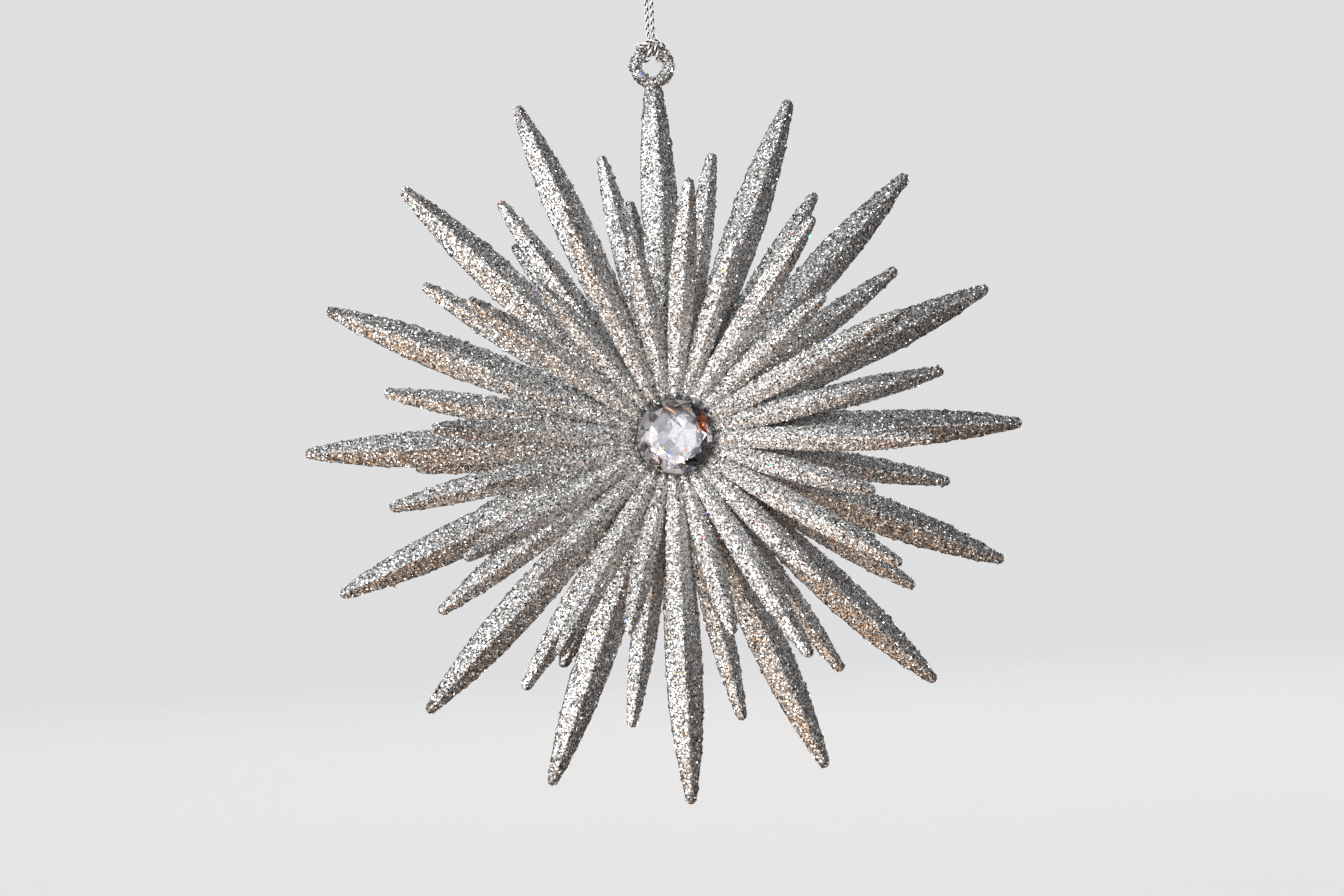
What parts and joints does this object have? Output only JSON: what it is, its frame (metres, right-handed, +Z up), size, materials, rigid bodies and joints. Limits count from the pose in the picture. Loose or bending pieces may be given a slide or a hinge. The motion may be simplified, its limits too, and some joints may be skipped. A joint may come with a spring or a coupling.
{
  "type": "hanging starburst ornament",
  "caption": "Hanging starburst ornament: glittered spindle rays in a flat star, a raised burst on each face, a faceted gem at the middle, on a doubled metallic cord.",
  "frame": {"origin": "inside the top of the hanging loop, where a hook bears; the ornament hangs below it", "axes": "+Z up along the cord, front face towards -Y, +X to the right seen from the front"},
  "size_m": [0.12, 0.0264, 0.1661],
  "materials": {
    "silver_glitter_plastic": "thickly coated with fine silver glitter",
    "clear_gem": "polished facets",
    "mirror_foil": "bright mirror",
    "clear_glue": "clear, hardened",
    "metallic_cord": "twisted silver metallic thread"
  },
  "bodies": {
    "hanging_loop": {"hanging_cord": "metallic_cord", "cord_knot": "metallic_cord"},
    "hitch": {"ring_hitch": "metallic_cord"},
    "star": {"centre_star": "silver_glitter_plastic", "front_burst": "silver_glitter_plastic", "front_gem": "clear_gem", "front_foil": "mirror_foil", "front_gem_glue": "clear_glue", "front_hub_glue": "clear_glue", "back_burst": "silver_glitter_plastic", "back_gem": "clear_gem", "back_foil": "mirror_foil", "back_gem_glue": "clear_glue", "back_hub_glue": "clear_glue"}
  },
  "joints": [
    {"name": "cord_twist", "type": "hinge", "parent": "hanging_loop", "child": "hitch", "pos_m": [0, 0, -0.037], "axis": [0, 0, 1], "range_deg": [-180, 180]},
    {"name": "star_swing", "type": "hinge", "parent": "hitch", "child": "star", "pos_m": [0, 0, -0.04365], "axis": [0, 1, 0], "range_deg": [-60, 60]}
  ]
}
